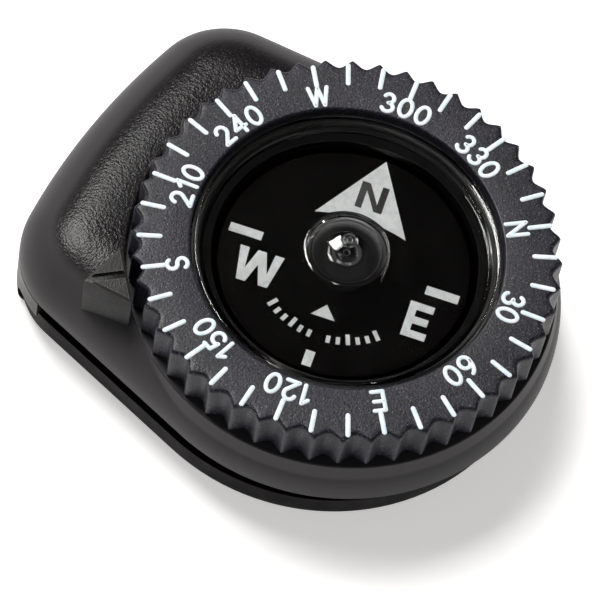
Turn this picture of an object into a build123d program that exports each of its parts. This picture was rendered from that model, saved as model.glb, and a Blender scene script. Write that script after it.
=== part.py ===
"""Clip-on micro compass: a rotating bezel and a liquid-filled capsule on a strap clip.

Millimetres, +Z up. The origin is on the bezel's axis, level with the flat underside of the clip.
+Y points to the clip's closed end. Angles are in degrees, counter-clockwise from +X, seen from above.
"""

import os
from math import atan2, cos, degrees, radians, sin, sqrt

from build123d import *

os.makedirs("parts", exist_ok=True)

# ---- Body outline, seen from above ----
round_end_radius = 13.0  # the end round the bezel
clip_end_distance = 17.5  # bezel axis to the middle of the clip end
clip_end_arch = 42.0  # the clip end is a shallow arch
corner_radius = 5.0
flank_lean = 9.5  # each flank leans in towards the clip end

# ---- Heights of the layers, from the underside up ----
plate_thickness = 2.1  # the clip's lower jaw
slot_gap = 1.55  # closed jaw to the housing, for a strap or hem
floor_thickness = 1.35  # housing floor under the capsule
ledge_thickness = 2.95  # housing under the bezel
bezel_height = 2.9
deck_height = 3.55  # deck above the slot
deck_roll = 3.4  # rounding of the deck into the sides

# ---- Bezel ----
bezel_overhang = 0.7  # body's round end beyond the bezel's tips
skirt_draft = 0.35  # the lip under the bezel leans in
bezel_width = 3.43  # bezel's tips to the capsule
bezel_flutes = 48
flute_depth = 0.5
flute_crest_angle = 1.1  # the rounded crest between two flutes
bezel_edge = 0.3  # chamfer on the crests' top
bezel_lift = 0.1  # gap under the bezel
bezel_side_gap = 0.12  # bezel tips to the recess wall
bezel_turn = -46.3  # where the bezel's north mark stands

# ---- Capsule ----
bezel_bore_clearance = 0.08  # running fit, on the radius
pocket_clearance = 0.03
window_drop = 0.3  # window below the bezel's top
window_thickness = 0.8
spigot_depth = 0.4
spigot_wall = 0.7
cup_floor = 0.8
cup_wall = 1.37
cavity_cone_height = 1.0
dome_radius = 2.4
dome_rise = 1.0
dome_wall = 0.5
gasket_wire = 0.3

# ---- Ring that keeps the bezel down ----
snap_ring_thickness = 0.36
snap_ring_bite_in = 0.45  # into the capsule
snap_ring_bite_out = 0.53  # into the bezel
snap_ring_gap = 2.0
snap_ring_height = 0.5  # above the bezel's underside
snap_ring_clearance = 0.04

# ---- Card and its bearing ----
card_side_gap = 0.3
card_thickness = 0.4
card_float = 0.2  # magnet above the cavity's floor
card_turn = 16.7  # where the card's north stands
hub_shank_radius = 1.2
hub_head_radius = 1.6
hub_bore_radius = 0.8
hub_drop = 0.5  # hood below the window's flat
hub_wall = 0.3
jewel_height = 0.6
magnet_end_inset = 2.2  # magnet's end inside the card's rim
magnet_width = 2.6
magnet_thickness = 0.7
weight_radius = 0.55
weight_thickness = 0.35
weight_gap = 0.05
pin_radius = 0.3
pin_tip_clearance = 0.03
pin_cone_height = 0.5
pin_depth = 0.5
boss_gap = 0.1  # boss inside the hub's bore
boss_height = 0.35
plug_radius = 0.8
plug_inset = 2.9  # inside the cavity's wall
plug_angle = 250

# ---- Index pointer ----
pointer_angle = 135
pointer_base_half_width = 1.92
pointer_length = 2.5
pointer_bezel_gap = 0.36
pointer_drop = 0.05  # below the bezel's top
pointer_depth = 1.6  # set into the deck, below the recess ledge
pointer_bevel = 0.2

# ---- Clip ----
knuckle_clearance = 0.06
clip_root_length = 4.1  # closed end of the slot to the clip end
plate_inset = 0.25  # jaw's rim inside the body's flanks
plate_tip_inset = 0.85  # jaw's rim inside the body's round end
plate_tip_cut = 1.15  # flat at the jaw's tip, inside the body's round end
clip_edge_round = 0.8
tooth_angle = 34  # from the tip, each side
tooth_width = 2.3
tooth_depth = 1.0
tooth_gap = 0.05
tooth_groove = 0.25
post_radius = 0.9
post_height = 1.6
post_inset = 7.0  # inside the round end's width, each side
post_clearance = 0.02
post_end_gap = 0.2

# ---- Worked-out heights and radii ----
slot_top = plate_thickness + slot_gap
pocket_floor = slot_top + floor_thickness
ledge_top = slot_top + ledge_thickness
bezel_bottom = ledge_top + bezel_lift
bezel_top = bezel_bottom + bezel_height
deck_top = slot_top + deck_height
bezel_tip_radius = round_end_radius - bezel_overhang
bezel_valley_radius = bezel_tip_radius - flute_depth
recess_radius = bezel_tip_radius + bezel_side_gap
capsule_radius = bezel_tip_radius - bezel_width
cavity_radius = capsule_radius - cup_wall
snap_ring_inner = capsule_radius - snap_ring_bite_in
snap_ring_outer = capsule_radius + snap_ring_bite_out
card_radius = cavity_radius - card_side_gap
magnet_length = 2 * (card_radius - magnet_end_inset)
weight_distance = magnet_length / 2 + weight_gap + weight_radius
boss_radius = hub_bore_radius - boss_gap
plug_distance = cavity_radius - plug_inset
window_top = bezel_top - window_drop
rim_top = window_top - window_thickness
cavity_floor = pocket_floor + cup_floor
card_top = cavity_floor + card_float + magnet_thickness + card_thickness
hub_top = window_top - hub_drop
pin_tip = hub_top - hub_wall - jewel_height / 2 - pin_tip_clearance
slot_end_distance = clip_end_distance - clip_root_length
post_distance = round_end_radius - post_inset
knuckle_radius = plate_thickness / 2
knuckle_distance = slot_end_distance + knuckle_radius


def mirrored(point):
    return (-point[0], point[1])


def outline(inset=0.0, tip_inset=None):
    """The body's outline, drawn in by inset: a round end, two flanks, two corners and an arched end.

    With tip_inset, the round end stays tangent to the flanks and is drawn in by tip_inset at its tip.
    """
    lean = radians(flank_lean)
    shift = 0.0 if tip_inset is None else (tip_inset - inset) / (1 + sin(lean))
    end_r = round_end_radius - inset - shift * sin(lean)
    arch_r = clip_end_arch - inset
    corner_r = corner_radius - inset
    arch_y = clip_end_distance - clip_end_arch - shift
    across = end_r - corner_r
    start = (across * cos(lean), across * sin(lean))
    b = -start[0] * sin(lean) + (start[1] - arch_y) * cos(lean)
    c = start[0] ** 2 + (start[1] - arch_y) ** 2 - (arch_r - corner_r) ** 2
    run = -b + sqrt(b * b - c)
    centre = (start[0] - run * sin(lean), start[1] + run * cos(lean))
    arch_angle = atan2(centre[1] - arch_y, centre[0])
    mid_angle = (lean + arch_angle) / 2
    flank_low = (end_r * cos(lean), end_r * sin(lean))
    flank_high = (centre[0] + corner_r * cos(lean), centre[1] + corner_r * sin(lean))
    corner_mid = (centre[0] + corner_r * cos(mid_angle), centre[1] + corner_r * sin(mid_angle))
    arch_start = (arch_r * cos(arch_angle), arch_y + arch_r * sin(arch_angle))
    edges = [
        ThreePointArc(mirrored(flank_low), (0, -end_r), flank_low),
        Line(flank_low, flank_high),
        ThreePointArc(flank_high, corner_mid, arch_start),
        ThreePointArc(arch_start, (0, arch_y + arch_r), mirrored(arch_start)),
        ThreePointArc(mirrored(arch_start), mirrored(corner_mid), mirrored(flank_high)),
        Line(mirrored(flank_high), mirrored(flank_low)),
    ]
    return Pos(0, shift) * make_face(edges)


def prism(face, low, high):
    """A face drawn at height 0, raised into a solid from low to high."""
    return Pos(0, 0, low) * extrude(face, high - low)


def disc(radius, low, high, x=0.0, y=0.0):
    return Pos(x, y, (low + high) / 2) * Cylinder(radius, high - low)


def ring(outer, inner, low, high):
    return disc(outer, low, high) - disc(inner, low - 1, high + 1)


def cone(low_radius, high_radius, low, high, x=0.0, y=0.0):
    return Pos(x, y, (low + high) / 2) * Cone(low_radius, high_radius, high - low)


def slab(x_low, x_high, y_low, y_high, low, high):
    size = (x_high - x_low, y_high - y_low, high - low)
    return Pos((x_low + x_high) / 2, (y_low + y_high) / 2, (low + high) / 2) * Box(*size)


def polar(distance, angle):
    return (distance * cos(radians(angle)), distance * sin(radians(angle)))


def pointer_face(grow=0.0):
    """The index pointer's triangle, with its base to the bezel and its apex outwards."""
    base = recess_radius + pointer_bezel_gap - bezel_side_gap - grow
    half = pointer_base_half_width + grow
    face = make_face(Polyline((base, -half), (base, half), (base + pointer_length + 2 * grow, 0), close=True))
    return Rot(0, 0, pointer_angle) * face


def post_places():
    y = (slot_end_distance + clip_end_distance) / 2
    return [(-post_distance, y), (post_distance, y)]


def clip_housing():
    """Upper shell: the domed deck, the bezel's recess, the capsule's pocket and the sockets."""
    body = prism(outline(), slot_top, deck_top)
    body = fillet(body.edges().group_by(Axis.Z)[-1], deck_roll)
    body += cone(round_end_radius, round_end_radius - skirt_draft, slot_top, ledge_top)
    body -= disc(recess_radius, ledge_top, bezel_top)
    body -= disc(capsule_radius + pocket_clearance, pocket_floor, bezel_top)
    body -= prism(pointer_face(pocket_clearance), ledge_top - pointer_depth, bezel_top)
    for x, y in post_places():
        body -= disc(post_radius + post_clearance, slot_top - 1, slot_top + post_height + post_end_gap, x, y)
    return body


def index_pointer():
    """Arrow-shaped insert that marks where the bearing is read."""
    body = prism(pointer_face(), ledge_top - pointer_depth, bezel_top - pointer_drop)
    return chamfer(body.edges().group_by(Axis.Z)[-1], pointer_bevel)


def bezel_ring():
    """Ring with fluted grip, turned by hand about the capsule."""
    pitch = 360 / bezel_flutes
    edges = []
    for i in range(bezel_flutes):
        left = bezel_turn + i * pitch - pitch / 2 + flute_crest_angle / 2
        right = left + pitch - flute_crest_angle
        valley = polar(bezel_valley_radius, (left + right) / 2)
        crest = polar(bezel_tip_radius, right + flute_crest_angle / 2)
        edges.append(ThreePointArc(polar(bezel_tip_radius, left), valley, polar(bezel_tip_radius, right)))
        next_left = polar(bezel_tip_radius, right + flute_crest_angle)
        edges.append(ThreePointArc(polar(bezel_tip_radius, right), crest, next_left))
    body = prism(make_face(edges), bezel_bottom, bezel_top)
    edge_low = bezel_top - bezel_edge
    barrel = disc(bezel_tip_radius + 1, bezel_bottom, edge_low)
    body &= barrel + cone(bezel_tip_radius, bezel_tip_radius - bezel_edge, edge_low, bezel_top)
    body -= disc(capsule_radius + bezel_bore_clearance, bezel_bottom - 1, bezel_top + 1)
    groove_low = bezel_bottom + snap_ring_height - snap_ring_clearance
    groove_high = groove_low + snap_ring_thickness + 2 * snap_ring_clearance
    return body - disc(snap_ring_outer + snap_ring_clearance, groove_low, groove_high)


def bezel_snap_ring():
    """Split ring in a groove round the capsule; it keeps the bezel down."""
    low = bezel_bottom + snap_ring_height
    body = ring(snap_ring_outer, snap_ring_inner, low, low + snap_ring_thickness)
    half = snap_ring_gap / 2
    return body - slab(-half, half, 0, snap_ring_outer + 1, low - 1, low + 1)


def gasket_radius():
    return capsule_radius - spigot_wall / 2


def capsule_cup():
    """Black cup that holds the liquid, with a sloping wall round the card and a boss for the pin."""
    body = disc(capsule_radius, pocket_floor, rim_top)
    cavity_low = rim_top - spigot_depth - cavity_cone_height
    spigot_radius = capsule_radius - spigot_wall
    body -= disc(cavity_radius, cavity_floor, cavity_low)
    body -= cone(cavity_radius, spigot_radius, cavity_low, cavity_low + cavity_cone_height)
    body -= disc(spigot_radius, rim_top - spigot_depth, rim_top)
    body += disc(boss_radius, cavity_floor, cavity_floor + boss_height)
    body -= disc(pin_radius, cavity_floor - pin_depth, cavity_floor + boss_height + 1)
    x, y = polar(plug_distance, plug_angle)
    body -= disc(plug_radius, pocket_floor - 1, cavity_floor + 1, x, y)
    half = gasket_wire / 2
    body -= ring(gasket_radius() + half, gasket_radius() - half, rim_top - gasket_wire, rim_top)
    low = bezel_bottom + snap_ring_height - snap_ring_clearance
    high = low + snap_ring_thickness + 2 * snap_ring_clearance
    return body - ring(capsule_radius + 1, snap_ring_inner - snap_ring_clearance, low, high)


def capsule_gasket():
    """Round sealing ring in the cup's rim, under the window."""
    return Pos(0, 0, rim_top - gasket_wire / 2) * Torus(gasket_radius(), gasket_wire / 2)


def capsule_window():
    """Clear cover with a domed middle that leaves room for the card's hub."""
    spigot = capsule_radius - spigot_wall - pocket_clearance
    dome_low = rim_top - spigot_depth
    body = disc(capsule_radius, rim_top, window_top) + disc(spigot, dome_low, rim_top)
    body = chamfer(body.edges().group_by(Axis.Z)[-1], window_thickness / 4)
    sphere_radius = (dome_radius**2 + dome_rise**2) / (2 * dome_rise)
    sphere_z = window_top + dome_rise - sphere_radius
    body += Pos(0, 0, sphere_z) * Sphere(sphere_radius) & disc(dome_radius + 1, rim_top, bezel_top + dome_rise)
    inner = Pos(0, 0, sphere_z) * Sphere(sphere_radius - dome_wall)
    inner += disc(hub_head_radius + dome_wall, sphere_z - sphere_radius, rim_top)
    return body - (inner & disc(dome_radius, dome_low - 1, bezel_top + dome_rise))


def fill_plug():
    """Plug pressed into the filling hole in the cup's floor."""
    x, y = polar(plug_distance, plug_angle)
    return disc(plug_radius, pocket_floor, cavity_floor, x, y)


def pivot_pin():
    """Steel needle that the card turns on."""
    body = disc(pin_radius, cavity_floor - pin_depth, pin_tip - pin_cone_height)
    return body + cone(pin_radius, 0.02, pin_tip - pin_cone_height, pin_tip)


def card_hub():
    """Turned bush that holds the jewel up inside the window's dome."""
    low = card_top - card_thickness - magnet_thickness
    body = disc(hub_shank_radius, low, card_top) + disc(hub_head_radius, card_top, hub_top)
    body = chamfer(body.edges().group_by(Axis.Z)[-1], hub_wall)
    return body - disc(hub_bore_radius, low - 1, hub_top - hub_wall)


def jewel_bearing():
    """Hard cup with a conical seat for the needle's tip."""
    high = hub_top - hub_wall
    low = high - jewel_height
    seat = cone(hub_bore_radius * 0.75, 0.05, low, high - jewel_height / 2)
    return disc(hub_bore_radius, low, high) - seat


def compass_card():
    """Printed disc that carries the directions."""
    return ring(card_radius, hub_shank_radius, card_top - card_thickness, card_top)


def card_magnet():
    """Bar magnet under the card, along its north line."""
    high = card_top - card_thickness
    low = high - magnet_thickness
    half_l, half_w = magnet_length / 2, magnet_width / 2
    bar = slab(-half_l, half_l, -half_w, half_w, low, high)
    bar = fillet(bar.edges().filter_by(Axis.Z), magnet_width / 4)
    bar += disc(hub_shank_radius * 1.6, low, high)
    return Rot(0, 0, card_turn) * (bar - disc(hub_shank_radius, low - 1, high + 1))


def balance_weight():
    """Small weight under the card's south side, against the dip of the field."""
    x, y = polar(weight_distance, card_turn + 180)
    high = card_top - card_thickness
    return disc(weight_radius, high - weight_thickness, high, x, y)


def knuckle(grow=0.0):
    """Round bar across the jaw's root, on the line that the jaw turns about."""
    reach = 2 * round_end_radius
    return Pos(0, knuckle_distance, knuckle_radius) * Rot(0, 90, 0) * Cylinder(knuckle_radius + grow, reach)


def clip_root():
    """Lower shell at the closed end: it carries the jaw and is pinned to the housing by two posts."""
    body = prism(outline(), 0, slot_top)
    body = fillet(body.edges().group_by(Axis.Z)[0], clip_edge_round)
    reach = 2 * round_end_radius
    body -= slab(-reach, reach, -reach, slot_end_distance, -1, slot_top + 1)
    high = plate_thickness + knuckle_clearance
    body -= slab(-reach, reach, slot_end_distance - 1, knuckle_distance, -1, high)
    body -= knuckle(knuckle_clearance)
    for x, y in post_places():
        body += disc(post_radius, slot_top, slot_top + post_height, x, y)
    return body


def plate_face():
    """The jaw's outline: inside the flanks, shorter than the round end, and cut flat at its tip."""
    side = 2 * clip_end_distance
    tip_y = plate_tip_cut - round_end_radius
    return outline(plate_inset, plate_tip_inset) & Pos(0, side / 2 + tip_y) * Rectangle(side, side)


def clip_tooth(side):
    """Grooved tooth on the jaw's rim that bites the strap."""
    angle = -90 + side * tooth_angle
    outer = round_end_radius - plate_tip_inset
    low = plate_thickness / 2
    high = slot_top - tooth_gap
    body = slab(outer - tooth_depth, outer + 1, -tooth_width / 2, tooth_width / 2, low, high)
    grooves = 3
    for i in range(grooves):
        y = (i - (grooves - 1) / 2) * tooth_width / grooves
        groove = Rot(0, 0, 45) * Box(tooth_groove, tooth_groove, slot_gap * 3)
        body -= Pos(outer - 0.02, y, slot_top) * groove
    return (Rot(0, 0, angle) * body) & prism(plate_face(), 0, slot_top)


def clip_plate():
    """Sprung lower jaw. Its root is a knuckle, so that it can open where the real jaw bends."""
    plate = prism(plate_face(), 0, plate_thickness)
    plate = fillet(plate.edges().group_by(Axis.Z)[0], clip_edge_round)
    reach = 2 * round_end_radius
    body = plate - slab(-reach, reach, knuckle_distance, 2 * clip_end_distance, -1, slot_top)
    body += knuckle() & plate
    for side in (-1, 1):
        body += clip_tooth(side)
    return body


nodes = {
    "clip_housing": clip_housing,
    "index_pointer": index_pointer,
    "bezel_ring": bezel_ring,
    "bezel_snap_ring": bezel_snap_ring,
    "capsule_cup": capsule_cup,
    "capsule_gasket": capsule_gasket,
    "capsule_window": capsule_window,
    "fill_plug": fill_plug,
    "pivot_pin": pivot_pin,
    "card_hub": card_hub,
    "jewel_bearing": jewel_bearing,
    "compass_card": compass_card,
    "card_magnet": card_magnet,
    "balance_weight": balance_weight,
    "clip_root": clip_root,
    "clip_plate": clip_plate,
}

for name, make in nodes.items():
    piece = make()
    export_step(piece, f"parts/{name}.step")
    print(name, round(piece.volume, 2), "mm3")
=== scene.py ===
# %% [markdown]
# # A clip-on compass, piece by piece
#
# The real object is a compass the size of a thumbnail that slides onto a watch strap. It has a
# moulded clip, a bezel that turns, and a capsule of liquid with a printed card on a needle.
# The engineering model already fixes every size, so this lesson never invents one. It reads the
# fixed model, then gives each piece the rounding, the grain and the marks that the real one has.

# %% Load the fixed frame
import math

import bmesh
import bpy
from mathutils import Matrix, Vector


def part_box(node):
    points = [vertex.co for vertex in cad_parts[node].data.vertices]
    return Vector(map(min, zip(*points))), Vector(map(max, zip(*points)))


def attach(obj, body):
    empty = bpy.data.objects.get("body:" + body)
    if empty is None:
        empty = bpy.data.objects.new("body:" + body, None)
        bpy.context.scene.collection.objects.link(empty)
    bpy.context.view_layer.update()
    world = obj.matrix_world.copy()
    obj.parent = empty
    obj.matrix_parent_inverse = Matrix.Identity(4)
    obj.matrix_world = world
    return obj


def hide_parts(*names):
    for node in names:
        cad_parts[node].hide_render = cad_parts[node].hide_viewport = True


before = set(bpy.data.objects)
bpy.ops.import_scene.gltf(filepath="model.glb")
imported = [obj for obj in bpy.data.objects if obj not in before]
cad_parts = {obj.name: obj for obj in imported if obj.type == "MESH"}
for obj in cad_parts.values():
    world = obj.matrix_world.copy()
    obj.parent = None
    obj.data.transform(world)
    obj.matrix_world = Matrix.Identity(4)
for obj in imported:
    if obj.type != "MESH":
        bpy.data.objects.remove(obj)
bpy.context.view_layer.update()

MM = 0.001

# %% [markdown]
# ## Sizes
#
# Nearly every piece here is turned about one upright axis, so a piece is known by its heights and
# by its smallest and largest distance from that axis. Typing those numbers in again would let the
# two models drift apart. Reading them from the nodes keeps the looks on the engineering model.


# %% Read heights and radii
def heights(node):
    low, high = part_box(node)
    return low.z / MM, high.z / MM


def radii(node):
    reach = [math.hypot(v.co.x, v.co.y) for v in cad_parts[node].data.vertices]
    return min(reach) / MM, max(reach) / MM


bezel_bottom, bezel_top = heights("bezel_ring")
bezel_bore, bezel_tip = radii("bezel_ring")
slot_top, deck_top = heights("clip_housing")
cup_bottom, rim_top = heights("capsule_cup")
cup_radius = radii("capsule_cup")[1]
dome_top = heights("capsule_window")[1]
card_low, card_top = heights("compass_card")
card_bore, card_radius = radii("compass_card")
hub_bottom, hub_top = heights("card_hub")
hub_radius = radii("card_hub")[1]
snap_bottom, snap_top = heights("bezel_snap_ring")
snap_inner, snap_outer = radii("bezel_snap_ring")
housing_low, housing_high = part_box("clip_housing")
BEZEL_NORTH = -46.3  # degrees, where the bezel's north mark stands
CARD_NORTH = 16.7  # degrees, where the card's north stands
print("bezel", bezel_bottom, "to", bezel_top, "radius", bezel_bore, "to", bezel_tip)

# %% [markdown]
# ## Camera
#
# A long lens from a little over a hand's width and a half away gives the nearly parallel lines of
# a catalogue picture. The camera looks down at about sixty degrees and is rolled by a few degrees,
# so it is built from its own right, up and back directions instead of a tracking constraint.


# %% Place the camera
def direction(azimuth, elevation):
    a, e = math.radians(azimuth), math.radians(elevation)
    return Vector((math.cos(a) * math.cos(e), math.sin(a) * math.cos(e), math.sin(e)))


def aim(obj, place, target, roll=0.0):
    back = (place - target).normalized()
    level = Vector((0, 0, 1)).cross(back).normalized()
    lift = back.cross(level)
    turn = math.radians(roll)
    right = level * math.cos(turn) + lift * math.sin(turn)
    up = back.cross(right)
    axes = Matrix((right, up, back)).transposed()
    obj.matrix_world = Matrix.Translation(place) @ axes.to_4x4()


def add_object(name, data):
    obj = bpy.data.objects.new(name, data)
    bpy.context.scene.collection.objects.link(obj)
    return obj


CAMERA_TARGET = Vector((-4.4927, 0.2671, bezel_top)) * MM
CAMERA_DISTANCE = 247.43 * MM
CAMERA_AZIMUTH, CAMERA_ELEVATION, CAMERA_ROLL = -157.239, 61.856, 12.743
FOCAL_LENGTH, SENSOR_WIDTH = 264.78, 36  # millimetres
camera_data = bpy.data.cameras.new("camera")
camera_data.sensor_width = SENSOR_WIDTH
camera_data.lens = FOCAL_LENGTH
camera_data.clip_start = 0.01
camera_data.clip_end = 10
camera = add_object("camera", camera_data)
camera_place = CAMERA_TARGET + direction(CAMERA_AZIMUTH, CAMERA_ELEVATION) * CAMERA_DISTANCE
aim(camera, camera_place, CAMERA_TARGET, roll=CAMERA_ROLL)
bpy.context.scene.camera = camera
print("camera at, mm:", [round(v / MM, 1) for v in camera.matrix_world.translation])

# %% [markdown]
# ## Studio
#
# The object is black and partly glossy, so what it mirrors matters more than what falls on it. It
# stands on a white table in a white tent. One large softbox at the upper left makes the glints, and
# a dark patch overhead keeps the clear window from mirroring the tent. The patch could be a real
# card on a stand, but painting it in the sky keeps it out of every other view.


# %% Build the table, the tent and the softbox
def add_node(tree, kind, inputs=None, **settings):
    """Adds a node to a tree. Its inputs are given plain values or other nodes' sockets."""
    node = tree.nodes.new(kind)
    for key, value in settings.items():
        setattr(node, key, value)
    for key, value in (inputs or {}).items():
        if isinstance(value, bpy.types.NodeSocket):
            tree.links.new(value, node.inputs[key])
        else:
            node.inputs[key].default_value = value
    return node


def maths(tree, operation, *values):
    return add_node(tree, "ShaderNodeMath", dict(enumerate(values)), operation=operation).outputs[0]


def ramp(tree, value, low, high, to_low, to_high):
    """Goes smoothly from to_low to to_high while value goes from low to high."""
    limits = {0: value, 1: low, 2: high, 3: to_low, 4: to_high}
    return add_node(tree, "ShaderNodeMapRange", limits, interpolation_type="SMOOTHSTEP").outputs[0]


def stage_floor(size):
    bm = bmesh.new()
    bmesh.ops.create_grid(bm, x_segments=1, y_segments=1, size=size / 2)
    mesh = bpy.data.meshes.new("table")
    bm.to_mesh(mesh)
    bm.free()
    return add_object("table", mesh)


def softbox(name, azimuth, elevation, distance, size, watts, tint=(1, 1, 1)):
    data = bpy.data.lights.new(name, "AREA")
    data.shape = "RECTANGLE"
    data.size, data.size_y = size
    data.energy = watts
    data.color = tint
    place = CAMERA_TARGET + direction(azimuth, elevation) * distance
    aim(add_object(name, data), place, CAMERA_TARGET)


def tent(wall_level, ceiling_level, wall_height, patch_towards, patch_angles):
    """Pale walls up to a height, in degrees, under a dim ceiling with a black patch in it."""
    world = bpy.data.worlds.new("tent")
    world.use_nodes = True
    bpy.context.scene.world = world
    tree = world.node_tree
    where = add_node(tree, "ShaderNodeTexCoord").outputs["Generated"]

    def fade(towards, far_angle, near_angle, far_level, near_level):
        facing = add_node(tree, "ShaderNodeVectorMath", {0: where, 1: towards}, operation="DOT_PRODUCT")
        far, near = math.cos(math.radians(far_angle)), math.cos(math.radians(near_angle))
        return ramp(tree, facing.outputs["Value"], far, near, far_level, near_level)

    from_top = 90 - wall_height
    soft_edge = 8  # degrees
    sky = fade(Vector((0, 0, 1)), from_top + soft_edge, from_top - soft_edge, wall_level, ceiling_level)
    patch = fade(patch_towards, patch_angles[1], patch_angles[0], 1.0, 0.0)
    background = tree.nodes["Background"]
    background.inputs["Color"].default_value = TENT_TINT
    tree.links.new(maths(tree, "MULTIPLY", sky, patch), background.inputs["Strength"])


TENT_TINT = (1.0, 0.99, 0.985, 1)
TABLE_SIZE = 3.0  # metres
MIRROR_WAY = direction(22.8, 62)  # where a level surface mirrors for the camera
table = stage_floor(TABLE_SIZE)
tent(
    wall_level=0.80, ceiling_level=0.12, wall_height=14,
    patch_towards=MIRROR_WAY, patch_angles=(20, 38),
)
softbox("key", 66, 60, distance=0.42, size=(0.17, 0.15), watts=2.1, tint=(1.0, 0.985, 0.965))
bpy.context.scene.view_settings.view_transform = "Standard"
print("studio: one table, one tent,", len(bpy.data.lights), "softbox")

# %% [markdown]
# ## Materials: a small kit
#
# Every finish is a shader with a few procedural textures on Object coordinates, so the pattern is
# fixed to the piece and has a real size. Numbers that are the same all over a surface go straight
# onto the shader's sockets.


# %% Define the material kit
def shader_base(name, **settings):
    material = bpy.data.materials.new(name)
    material.use_nodes = True
    tree = material.node_tree
    shader = tree.nodes["Principled BSDF"]
    for socket, value in settings.items():
        shader.inputs[socket.replace("_", " ")].default_value = value
    return material, tree, shader


def object_point(tree):
    return add_node(tree, "ShaderNodeTexCoord").outputs["Object"]


def grain(tree, size, detail=2.0, roughness=0.5, stretch=(1, 1, 1)):
    """A noise whose blobs are about size millimetres across."""
    scale = [s / (size * MM) for s in stretch]
    place = add_node(tree, "ShaderNodeMapping", {"Vector": object_point(tree), "Scale": scale})
    noise = {"Vector": place.outputs[0], "Scale": 1.0, "Detail": detail, "Roughness": roughness}
    return add_node(tree, "ShaderNodeTexNoise", noise).outputs[0]


def above(tree, low, high, to_low=0.0, to_high=1.0):
    """Fades from to_low to to_high between two heights in millimetres."""
    parts = add_node(tree, "ShaderNodeSeparateXYZ", {0: object_point(tree)})
    return ramp(tree, parts.outputs["Z"], low * MM, high * MM, to_low, to_high)


def blend(tree, amount, first, second):
    def paint(colour):
        return colour if isinstance(colour, bpy.types.NodeSocket) else (*colour, 1)

    mixed = {"A": paint(first), "B": paint(second), "Factor": amount}
    return add_node(tree, "ShaderNodeMix", mixed, data_type="RGBA").outputs["Result"]


def rounded_normal(tree, radius, samples):
    """The normal as it would be if every sharp edge had this radius in millimetres."""
    node = add_node(tree, "ShaderNodeBevel", {"Radius": radius * MM})
    node.samples = samples
    return node.outputs["Normal"]


def bumps(tree, shader, layers, edge_radius=0.0):
    """Stacks bumps of (height, depth in millimetres, strength) and may round sharp edges first."""
    below = rounded_normal(tree, edge_radius, 4) if edge_radius else None
    for height, depth, strength in layers:
        bump = {"Height": height, "Distance": depth * MM, "Strength": strength}
        if below is not None:
            bump["Normal"] = below
        below = add_node(tree, "ShaderNodeBump", bump).outputs["Normal"]
    tree.links.new(below, shader.inputs["Normal"])


def edge_mask(tree, radius, low=0.02, high=0.25):
    """One near sharp edges and nought elsewhere: where the rounded normal leaves the true one."""
    true = add_node(tree, "ShaderNodeNewGeometry").outputs["Normal"]
    both = {0: rounded_normal(tree, radius, 6), 1: true}
    dot = add_node(tree, "ShaderNodeVectorMath", both, operation="DOT_PRODUCT").outputs["Value"]
    return ramp(tree, dot, 1 - high, 1 - low, 1, 0)


print("kit ready")

# %% [markdown]
# ## Moulded plastics
#
# The clip is moulded in glass-filled nylon from a spark-eroded tool, which leaves a pebbled skin
# that glints where it faces the light. The bezel comes from a finer tool. The cup that holds the
# liquid is polished. They are one recipe with other numbers: base colour with slow and fast
# variation, light specks, grain of two sizes in the bump, and edges a little paler, partly rubbed
# and partly a painted highlight. Below two given heights the clip's shell turns smoother and
# duller, and its base turns paler as a painted reflection of the white table.


# %% Mix the moulded plastics
SATIN_ROUGHNESS = 0.46
# paler base on the sides: a painted reflection of the white table, not the nylon's own colour
SATIN_PAINTED_SHEEN_COLOUR = (0.046, 0.0435, 0.046)
SATIN_BUMP = 0.3  # share of the deck's grain that the sides keep


def moulded_plastic(
    name, colour, speck_wear_and_edge_highlight, rough, pebble, depth,
    mottle=0.0, speck=0.0, edge=0.25, rounding=0.0, sheen=0.5, satin_and_sheen_below=None,
):
    """Pebbled plastic. Below two heights it turns smoother, duller and paler: painted reflection."""
    material, tree, shader = shader_base(name, IOR=1.5, Specular_IOR_Level=sheen)
    cloud = grain(tree, 4.0, 3.0)
    fine = grain(tree, pebble, 2.0, 0.55)
    dark = [c * 0.82 for c in colour]
    light = [c * 1.2 for c in colour]
    base = blend(tree, ramp(tree, cloud, 0.3, 0.7, 0, 1), dark, light)
    if mottle:
        mote = grain(tree, pebble * 0.9, 2.0)
        base = blend(tree, ramp(tree, mote, 0.36, 0.64, mottle, 0), base, (0, 0, 0))
    if speck:
        dust = grain(tree, pebble * 1.1, 2.0, 0.6)
        base = blend(tree, ramp(tree, dust, 0.60, 0.72, 0, speck), base, speck_wear_and_edge_highlight)
    # edges blend to the speck colour: partly rubbing, partly a painted highlight along each edge
    if edge:
        base = blend(tree, ramp(tree, edge_mask(tree, edge), 0, 1, 0, 0.55), base, speck_wear_and_edge_highlight)
    gloss = ramp(tree, grain(tree, 1.3, 3.0), 0.25, 0.75, rough[0], rough[1])
    strength = 1.0
    if satin_and_sheen_below:
        # below the heights the base turns paler: painted reflection of the white table on the sides
        base = blend(tree, above(tree, *satin_and_sheen_below, 0.9, 0.0), base, SATIN_PAINTED_SHEEN_COLOUR)
        gloss = maths(tree, "MAXIMUM", gloss, above(tree, *satin_and_sheen_below, SATIN_ROUGHNESS, 0.0))
        strength = above(tree, *satin_and_sheen_below, SATIN_BUMP, 1.0)
    tree.links.new(base, shader.inputs["Base Color"])
    tree.links.new(gloss, shader.inputs["Roughness"])
    cell = grain(tree, pebble * 2.1, 1.0)
    bumps(tree, shader, [(cell, depth * 0.5, strength), (fine, depth, strength)], rounding)
    return material


# below the two heights the shell's sides get a paler base, a painted reflection of the table
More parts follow.
